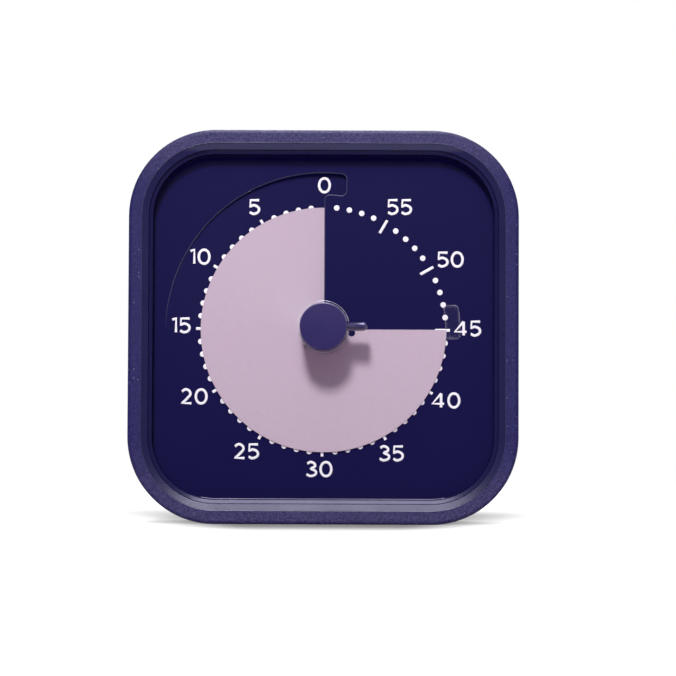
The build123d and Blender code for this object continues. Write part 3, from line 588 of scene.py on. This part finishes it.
def soften(piece, width, sharper_than):
    """Rounds the edges that are sharper than an angle in degrees, with a small bevel."""
    rounding = piece.modifiers.new("rounding", "BEVEL")
    rounding.width = width
    rounding.segments = 3
    rounding.limit_method = "ANGLE"
    rounding.angle_limit = radians(sharper_than)
    return apply_modifiers(piece)


def smooth(piece, angle):
    only(piece)
    bpy.ops.object.shade_smooth_by_angle(angle=radians(angle))
    return piece


deselect_all()
print("selected:", len(bpy.context.selected_objects))

# %% [markdown]
# The dial is round, so a point on it is told by its distance from the centre and its angle. The
# angle runs anticlockwise, as the minutes do.

# %% Distance and angle on the dial
angles_from = -89.5


def dial_angle(point):
    """Degrees anticlockwise from twelve o'clock. What lies up to a quarter turn before twelve
    counts as negative, because the hidden end of the disc lies there."""
    turn = degrees(atan2(-(point.x - dial_centre.x), point.z - dial_centre.z))
    return (turn - angles_from) % 360 + angles_from


def dial_distance(point):
    return Vector((point.x - dial_centre.x, point.z - dial_centre.z)).length


def on_dial(distance, angle, level):
    """A point on the dial at a distance, an angle and a depth along Y."""
    turn = radians(angle)
    return Vector((dial_centre.x - distance * sin(turn), level, dial_centre.z + distance * cos(turn)))


print("angle at three o'clock:", round(dial_angle(dial_centre + Vector((1, 0, 0))), 1))

# %% [markdown]
# Knob. The moulded knob has a crisp rim, and its lever is a slim fin a little above the middle. A
# knob could be spun anew, but the CAD knob already has the right form. So a copy of it is reshaped:
# the round edge is drawn in towards the wall and the front, and the lever is made a little slimmer
# across and lifted.

# %% Knob with a crisp rim
knob_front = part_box("knob")[0].y
knob_radius = 5.5 * mm
rim_round = 0.7 * mm
rim_share = 0.35
rim_inner = knob_radius - rim_round
lever_from = 0.96 * knob_radius
lever_share = 0.9
lever_rise = 0.3 * mm
weld = 0.002 * mm
margin = 0.01 * mm


def twin(name, new_name):
    """A merged copy of a CAD node's mesh, to be reshaped."""
    piece = nodes[name].copy()
    piece.data = nodes[name].data.copy()
    piece.name = piece.data.name = new_name
    bpy.context.scene.collection.objects.link(piece)
    edit(piece, "VERT")
    bpy.ops.mesh.select_all(action="SELECT")
    bpy.ops.mesh.remove_doubles(threshold=weld)
    leave_edit()
    return piece


cap = twin("knob", "knob_moulding")
for vertex in cap.data.vertices:
    distance = dial_distance(vertex.co)
    depth = vertex.co.y - knob_front
    across, up = vertex.co.x - dial_centre.x, vertex.co.z - dial_centre.z
    if rim_inner - margin < distance < knob_radius + margin and depth < rim_round + margin:
        scale = (knob_radius - (knob_radius - distance) * rim_share) / distance
        vertex.co.x = dial_centre.x + across * scale
        vertex.co.y = knob_front + depth * rim_share
        vertex.co.z = dial_centre.z + up * scale
    elif across > lever_from and depth > rim_round:
        vertex.co.z = dial_centre.z + up * lever_share + lever_rise
smooth(cap, 35)
dress(cap, knob_plastic)
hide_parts("knob")
print("knob moulding:", len(cap.data.vertices), "points")

# %% [markdown]
# Beads. The silicone lip swells a little where it meets the hard bezel, so no dark gap shows
# between them, and the bezel ends on the dial in a fine round foot that catches the light. Each is
# a thin round bead along a rounded square. It could be a torus pulled square, but that stretches
# its section at the corners. So a plane gets its corners bevelled, and its outline is kept as a
# curve, to which one round section is given all along. The foot sinks into the dial near the top,
# where the bezel's own shadow swallows it, and round the two lower corners, where its line fades.

# %% Beads along the bezel
outline_corner = 20.5 * mm


def bead(name, inset, level, width):
    """A round bead along the cover's outline, an inset inside it, at a depth along Y."""
    middle = (cover_low + cover_high) / 2
    bpy.ops.mesh.primitive_plane_add(size=1, location=(middle.x, level, middle.z), rotation=(pi / 2, 0, 0))
    ring = added(name)
    ring.scale = (cover_high.x - cover_low.x - 2 * inset, cover_high.z - cover_low.z - 2 * inset, 1)
    edit(settle(ring), "VERT")
    bpy.ops.mesh.select_all(action="SELECT")
    bpy.ops.mesh.bevel(offset=outline_corner - inset, segments=16, affect="VERTICES")
    bpy.ops.mesh.delete(type="ONLY_FACE")
    leave_edit()
    bpy.ops.object.convert(target="CURVE")
    path = bpy.context.active_object
    path.data.bevel_depth = width / 2
    path.data.bevel_resolution = 2
    bpy.ops.object.convert(target="MESH")
    return smooth(added(name), 60)


lip_silicone = surface("lip_silicone", (0.014, 0.012, 0.08), (0.020, 0.018, 0.10), drift=900.0,
                       roughness=(0.30, 0.36), grain=2600.0, lift=0.05, Specular_IOR_Level=0.3)
lip_bead = bead("lip_bead", inset=3.12 * mm, level=cover_low.y + 0.16 * mm, width=0.26 * mm)
dress(lip_bead, lip_silicone)
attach(lip_bead, "case")
print("lip bead:", [round(v / mm, 2) for v in lip_bead.dimensions])

# %% The bezel's foot
foot_sink = 0.3 * mm
sink_height, sink_rise = 62 * mm, 16 * mm
corner_height, corner_side, corner_fade = 25 * mm, 27 * mm, 4 * mm
foot_bead = bead("foot_bead", inset=5.85 * mm, level=dial_face, width=0.34 * mm)
for vertex in foot_bead.data.vertices:
    near_top = (vertex.co.z - sink_height) / sink_rise
    in_corner = min(corner_height - vertex.co.z, abs(vertex.co.x) - corner_side) / corner_fade
    vertex.co.y += foot_sink * min(max(near_top, in_corner, 0), 1)
dress(foot_bead, dial_plastic)
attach(foot_bead, "case")
print("foot bead:", [round(v / mm, 2) for v in foot_bead.dimensions])

# %% [markdown]
# Metals and the board. Turned and rolled metal keeps fine scratches that run one way. Single
# scratches would be too fine to model, so the grain of the same finish is stretched; plated strips
# are smoother than steel. The board has a solder mask over its weave.

# %% Metals and board
scratch_stretch = (1.0, 12.0, 1.0)


def metal(name, tone_a, tone_b, roughness):
    """A metal whose fine scratches run along one direction."""
    finish = surface(name, tone_a, tone_b, drift=400.0, roughness=roughness, grain=2600.0, lift=0.05,
                     Metallic=1.0)
    stretched = add_node(finish.tree, "ShaderNodeMapping", Scale=scratch_stretch)
    join(finish.tree, finish.place, "Object", stretched, "Vector")
    join(finish.tree, stretched, "Vector", finish.pores, "Vector")
    return finish


steel = metal("steel", (0.56, 0.56, 0.57), (0.64, 0.64, 0.65), (0.22, 0.32))
screw_steel = metal("screw_steel", (0.38, 0.38, 0.40), (0.48, 0.48, 0.50), (0.3, 0.42))
spring_brass = metal("spring_brass", (0.66, 0.50, 0.22), (0.74, 0.58, 0.28), (0.25, 0.35))
motor_metal = metal("motor_metal", (0.60, 0.60, 0.60), (0.68, 0.68, 0.68), (0.28, 0.38))
contact_metal = metal("contact_metal", (0.72, 0.72, 0.71), (0.78, 0.78, 0.77), (0.12, 0.2))
board_laminate = surface("board_laminate", (0.012, 0.09, 0.035), (0.02, 0.13, 0.05), drift=500.0,
                         roughness=(0.3, 0.4), grain=1600.0, lift=0.06)
battery_jacket = surface("battery_jacket", (0.10, 0.10, 0.11), (0.13, 0.13, 0.14), drift=200.0,
                         roughness=(0.18, 0.25), grain=3000.0, lift=0.01)
for name in ("arbor", "intermediate_pinion", "motor_pinion"):
    dress(nodes[name], steel)
for name in ("case_screws", "plate_screws", "movement_screws", "board_screws", "door_screw"):
    dress(nodes[name], screw_steel)
for name in ("clutch_spring", "clutch_collar"):
    dress(nodes[name], spring_brass)
for name in ("drive_motor", "quartz_crystal", "switch_body"):
    dress(nodes[name], motor_metal)
for name in ("positive_contact", "negative_contact"):
    dress(nodes[name], contact_metal)
dress(nodes["circuit_board"], board_laminate)
dress(nodes["battery"], battery_jacket)
print("materials so far:", len(bpy.data.materials))

# %% [markdown]
# Clear plastic. The hub with its collar, and the disc's tab, are moulded in clear plastic, so they
# show mostly as thin bright lines where an edge turns the light. Real refraction would need many
# bounces of light and show little more here. Instead each place on the piece gets a fixed pale
# cover: a flat front or back lets nearly everything through, a rounded edge is pale, a painted
# highlight for the light that the edge turns, and a wall lies in between. The cover follows the
# form and not the viewer, so it holds from all around.

# %% Clear plastic
wall_until, rounded_from, rounded_until, face_from = 0.25, 0.45, 0.96, 0.995


def clear(name, face, rounded, wall):
    """Clear plastic, with its cover for a flat face, for a rounded edge, whose paleness is a painted
    highlight, and for a wall.
    """
    finish = surface(name, (0.84, 0.83, 0.96), (0.88, 0.87, 1.00), drift=300.0, roughness=(0.06, 0.12),
                     lift=0.0)
    cover = add_node(finish.tree, "ShaderNodeValToRGB")
    stops = cover.color_ramp.elements
    stops[0].position, stops[1].position = wall_until, face_from
    levels = ((stops[0], wall), (stops.new(rounded_from), rounded), (stops.new(rounded_until), rounded),
              (stops[-1], face))
    for stop, level in levels:
        stop.color = (level, level, level, 1)
    feed(finish.tree, squareness(finish.tree), cover, "Fac")
    join(finish.tree, cover, "Color", finish.shader, "Alpha")
    return finish


hub_finish = clear("clear_hub", face=0.03, rounded=0.42, wall=0.05)
dress(nodes["clear_hub"], hub_finish)
print("clear hub: nodes", len(hub_finish.tree.nodes))

# %% The tab, with the soft edges of a moulding
tab_round = 0.16 * mm
tab = soften(twin("disc_tab", "clear_tab"), tab_round, sharper_than=50)
smooth(tab, 40)
dress(tab, clear("clear_tab", face=0.004, rounded=0.6, wall=0.3))
tab.visible_shadow = False
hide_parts("disc_tab")
print("tab:", len(tab.data.polygons), "faces")

# %% [markdown]
# The timer disc is a thin matt film in pale lilac, with a faint cloudiness. It is flexible: on
# the dial it lies flat, over the ramp it sinks, and past the slit it runs on behind the dial. The
# stiff CAD disc would cut through the dial as it turns, so the film is made anew, of narrow strips
# that can follow each other. It is spun from one radial row of points, bent down along the ramp,
# and then given its thickness. The spin starts at the leading edge, at three o'clock, and ends
# behind the dial.

# %% Disc film, flat
disc_low, disc_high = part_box("timer_disc")
disc_front, disc_back, disc_radius = disc_low.y, disc_high.y, disc_high.x
leading_angle = 270.0
hidden_sweep = 88.0
film_bore = 4.0 * mm
film_weld = 0.01 * mm
film_cuts, film_steps = 15, 179
film = surface("disc_film", (0.485, 0.380, 0.466), (0.540, 0.430, 0.514), drift=900.0,
               roughness=(0.55, 0.65), grain=2600.0, lift=0.03, Specular_IOR_Level=0.3)

bpy.ops.mesh.primitive_plane_add(size=1)
disc = added("disc_film")
for vertex, reach in zip(disc.data.vertices, (film_bore, disc_radius, film_bore, disc_radius)):
    vertex.co = on_dial(reach, leading_angle, 0)
edit(disc, "VERT")
bpy.ops.mesh.select_all(action="SELECT")
bpy.ops.mesh.remove_doubles(threshold=film_weld)
bpy.ops.mesh.subdivide(number_cuts=film_cuts)
bpy.ops.mesh.select_all(action="SELECT")
bpy.ops.mesh.spin(steps=film_steps, angle=radians(leading_angle + hidden_sweep), use_auto_merge=False,
                  center=(dial_centre.x, 0, dial_centre.z), axis=(0, -1, 0))
leave_edit()
print("disc film:", len(disc.data.vertices), "points", len(disc.data.polygons), "faces")

# %% Disc film: the dip along the ramp, and its thickness
film_thickness = 0.3 * mm
film_low = disc_back
film_high = disc_front + film_thickness
ramp_sweep = 90.0
first_slope = 1.35


def rise(share):
    """How far the film has come up after a share of the ramp: a cubic that sets off at the first
    slope and ends at 1 with a slope of 0, so that no crease shows where the film levels out."""
    return first_slope * share + (3 - 2 * first_slope) * share ** 2 + (first_slope - 2) * share ** 3


for vertex in disc.data.vertices:
    share = rise(min(max(dial_angle(vertex.co) / ramp_sweep, 0), 1))
    vertex.co.y = film_low + (film_high - film_low) * share - film_thickness / 2
thickness = disc.modifiers.new("thickness", "SOLIDIFY")
thickness.thickness = film_thickness
thickness.offset = 0
apply_modifiers(disc)
edit(disc)
bpy.ops.mesh.select_all(action="SELECT")
bpy.ops.mesh.normals_make_consistent(inside=False)
leave_edit()
print("disc film from", round(film_high / mm, 2), "back to", round(film_low / mm, 2))

# %% [markdown]
# A small round hole ends the film's cut beside the hub, so that the cut doesn't tear on.

# %% Disc film: the relief hole
relief_radius, relief_length = 0.87 * mm, 4 * mm
relief_place = Vector((6.65 * mm, 0, -0.8 * mm))
bpy.ops.mesh.primitive_cylinder_add(vertices=32, radius=relief_radius, depth=relief_length,
                                    location=dial_centre + relief_place, rotation=(pi / 2, 0, 0))
relief = added("relief_cutter")
hole = disc.modifiers.new("relief", "BOOLEAN")
hole.object = relief
hole.operation = "DIFFERENCE"
apply_modifiers(disc)
bpy.data.objects.remove(relief)
smooth(disc, 40)
dress(disc, film)
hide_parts("timer_disc")
print("disc film size:", [round(v / mm, 2) for v in disc.dimensions])

# %% [markdown]
# As the knob turns, each point of the film follows by a share of the turn that grows from the slit
# to the leading edge, so the film seems to slide out of the slit. Behind the dial they grow again,
# towards the hidden end.

# %% Disc film: how it follows the knob
hidden_reach = 90.0
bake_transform(disc, "case", "setting_knob", start=dial_centre, end=dial_centre + Vector((0, 0, disc_radius)))
shares = disc.data.attributes["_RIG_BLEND"]
for vertex in disc.data.vertices:
    angle = dial_angle(vertex.co)
    share = angle / leading_angle if angle >= 0 else -angle / hidden_reach
    shares.data[vertex.index].value = min(max(share, 0), 1)
print("points that follow the knob:", len(shares.data))

# %% [markdown]
# Printed dial. The numerals are single strokes of one width with rounded ends. A text object would
# be quick, but no plain font is at hand with such strokes. So each is drawn as a curve and given a
# round section, and the section is then pressed nearly flat: printing ink stands up a little in
# the middle. Each digit has only the points that its shape needs. A corner keeps its angle, and a
# smooth point takes its handles from its neighbours.

# %% Digit strokes, in units of their height: (x, z, kind), kind c for a corner, s for smooth
numeral_height = 3.92 * mm
stroke_width = 0.158
digit_gap = 0.115
digit_widths = {"0": 0.80, "1": 0.364, "2": 0.735, "3": 0.715, "4": 0.88, "5": 0.705}
digit_strokes = {
    "0": [[(0.40, 0.921, "s"), (0.079, 0.5, "s"), (0.40, 0.079, "s"), (0.721, 0.5, "s"), "closed"]],
    "1": [[(0.06, 0.835, "c"), (0.285, 0.921, "c"), (0.285, 0.079, "c")]],
    "2": [[(0.085, 0.80, "s"), (0.345, 0.921, "s"), (0.60, 0.69, "s"), (0.42, 0.40, "s"),
           (0.095, 0.085, "c"), (0.66, 0.085, "c")]],
    "3": [[(0.10, 0.84, "s"), (0.34, 0.921, "s"), (0.575, 0.72, "s"), (0.32, 0.525, "c"),
           (0.635, 0.285, "s"), (0.335, 0.079, "s"), (0.06, 0.175, "s")]],
    "4": [[(0.625, 0.915, "c"), (0.095, 0.30, "c"), (0.80, 0.30, "c")],
          [(0.625, 0.915, "c"), (0.625, 0.079, "c")]],
    "5": [[(0.625, 0.915, "c"), (0.115, 0.915, "c"), (0.085, 0.53, "c"), (0.345, 0.60, "s"),
           (0.625, 0.345, "s"), (0.325, 0.079, "s"), (0.06, 0.175, "s")]],
}
print("digits drawn:", "".join(sorted(digit_strokes)))

# %% One numeral as a mesh
def stroke(name, points, place, scale, width, closed=False):
    """A round-section curve through the points, made a mesh. The points lie in the XZ plane."""
    curve = bpy.data.curves.new(name, "CURVE")
    curve.dimensions = "3D"
    curve.resolution_u = 10
    curve.bevel_depth = width / 2
    curve.bevel_resolution = 3
    curve.use_fill_caps = True
    spline = curve.splines.new("BEZIER")
    spline.bezier_points.add(len(points) - 1)
    spline.use_cyclic_u = closed
    for point, (x, z, kind) in zip(spline.bezier_points, points):
        point.co = place + Vector((x * scale, 0, z * scale))
        point.handle_left_type = point.handle_right_type = "VECTOR" if kind == "c" else "AUTO"
    holder = bpy.data.objects.new(name, curve)
    bpy.context.scene.collection.objects.link(holder)
    only(holder)
    bpy.ops.object.convert(target="MESH")
    return bpy.context.active_object


def numeral(text, centre):
    """Strokes of a number, centred on a point of the dial."""
    wide = sum(digit_widths[digit] for digit in text) + digit_gap * (len(text) - 1)
    corner = centre - Vector((wide / 2 * numeral_height, 0, numeral_height / 2))
    made = []
    for digit in text:
        for points in digit_strokes[digit]:
            closed = points[-1] == "closed"
            made.append(stroke("digit_" + digit, points[:-1] if closed else points, corner,
                               numeral_height, stroke_width * numeral_height, closed))
        corner = corner + Vector(((digit_widths[digit] + digit_gap) * numeral_height, 0, 0))
    return made


numeral_places = {
    "0": (0.190, 34.518), "5": (-16.428, 29.200), "10": (-29.271, 17.235),
    "15": (-33.663, 0.855), "20": (-30.458, -16.001), "25": (-17.995, -28.939),
    "30": (-0.783, -33.094), "35": (16.309, -29.295), "40": (29.129, -16.713),
    "45": (34.233, 0.380), "50": (30.197, 16.760), "55": (18.090, 29.224),
}
ink = []
for text, (across, up) in numeral_places.items():
    ink += numeral(text, Vector((dial_centre.x + across * mm, dial_face, dial_centre.z + up * mm)))
print("numeral strokes:", len(ink))

# %% [markdown]
# The minute marks are dots, with a short tick in place of each fifth. A dot could be a cylinder,
# but its top edge would be sharp. It starts as a flat disc and is raised and drawn in, to nearly
# the height of a stroke; a tick is a straight stroke.

# %% Minute dots and five-minute ticks
dot_radius = 0.655 * mm
dot_shoulder = 0.2 * mm
dot_wall = stroke_width * numeral_height / 3
dot_crown = stroke_width * numeral_height / 8
tick_reach = (26.6 * mm, 30.1 * mm)
tick_width = 0.68 * mm
print_turn = 0.19
for minute in range(60):
    angle = minute * 6 - print_turn
    if minute % 5:
        bpy.ops.mesh.primitive_circle_add(vertices=28, radius=dot_radius, fill_type="NGON",
                                          location=on_dial(disc_radius, angle, dial_face),
                                          rotation=(pi / 2, 0, 0))
        dot = settle(added("dot"))
        edit(dot)
        bpy.ops.mesh.select_all(action="SELECT")
        bpy.ops.mesh.extrude_region_move(TRANSFORM_OT_translate={"value": (0, -dot_wall, 0)})
        bpy.ops.mesh.inset(thickness=dot_shoulder)
        bpy.ops.transform.translate(value=(0, -dot_crown, 0))
        leave_edit()
        ink.append(dot)
    elif minute:
        start, end = (on_dial(reach, angle, 0) for reach in tick_reach)
        points = [(start.x, start.z, "c"), (end.x, end.z, "c")]
        ink.append(stroke("tick", points, Vector((0, dial_face, 0)), 1.0, tick_width))
print("marks and strokes:", len(ink))

# %% [markdown]
# The dial under the print isn't flat all over. Anticlockwise from twelve to nine o'clock it comes
# up in a ramp, under the disc, and keeps the same gap to it as the flat part does. On the other
# side of twelve a short notch, behind the 0, is as deep as the ramp's start.

# %% The dial's surface behind a point
film_gap = dial_face - disc_front - film_thickness
ramp_drop = disc_back + film_gap - dial_face
ramp_radius = 37.3 * mm
notch_radius = 32.2 * mm
notch_width = 5.3 * mm
notch_sweep = 10.0


def dial_level(point):
    """Depth of the dial's surface behind a point, on the flat face, on the ramp or in the notch."""
    angle = dial_angle(point)
    distance = dial_distance(point)
    in_notch = (-notch_sweep < angle < 0 and point.x - dial_centre.x < notch_width
                and distance > notch_radius)
    if distance > ramp_radius or not (0 <= angle < ramp_sweep or in_notch):
        return dial_face
    return dial_face + ramp_drop * (1 - max(angle, 0) / ramp_sweep)


print("the ramp starts", round(ramp_drop / mm, 2), "mm under the dial's face")

# %% [markdown]
# All marks become one piece. Their blunt ends are rounded, and then each point is laid at the
# depth of the dial behind it, with its height above the dial pressed to that of ink. The whole
# print sits a little to the left on its dial.

# %% Dial print: rounded ends, pressed flat, laid on the dial and on the ramp
print_round = 0.2 * mm
print_shift = -0.13 * mm
ink_height = 0.05 * mm
deselect_all()
for mark in ink:
    mark.select_set(True)
bpy.context.view_layer.objects.active = ink[0]
bpy.ops.object.join()
dial_print = soften(added("dial_print"), print_round, sharper_than=62)
for vertex in dial_print.data.vertices:
    height_share = (dial_face - vertex.co.y) / (stroke_width * numeral_height / 2)
    vertex.co.y = dial_level(vertex.co) - height_share * ink_height
    vertex.co.x += print_shift
smooth(dial_print, 50)
print("dial print:", len(dial_print.data.polygons), "faces")

# %% Ink
ink_white = surface("dial_ink", (0.84, 0.84, 0.87), (0.90, 0.90, 0.93), drift=400.0,
                    roughness=(0.4, 0.5), grain=6000.0, lift=0.02)
dress(dial_print, ink_white)
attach(dial_print, "case")
print("ink on:", dial_print.name)

# %% [markdown]

# %% The json module, imported again
import json
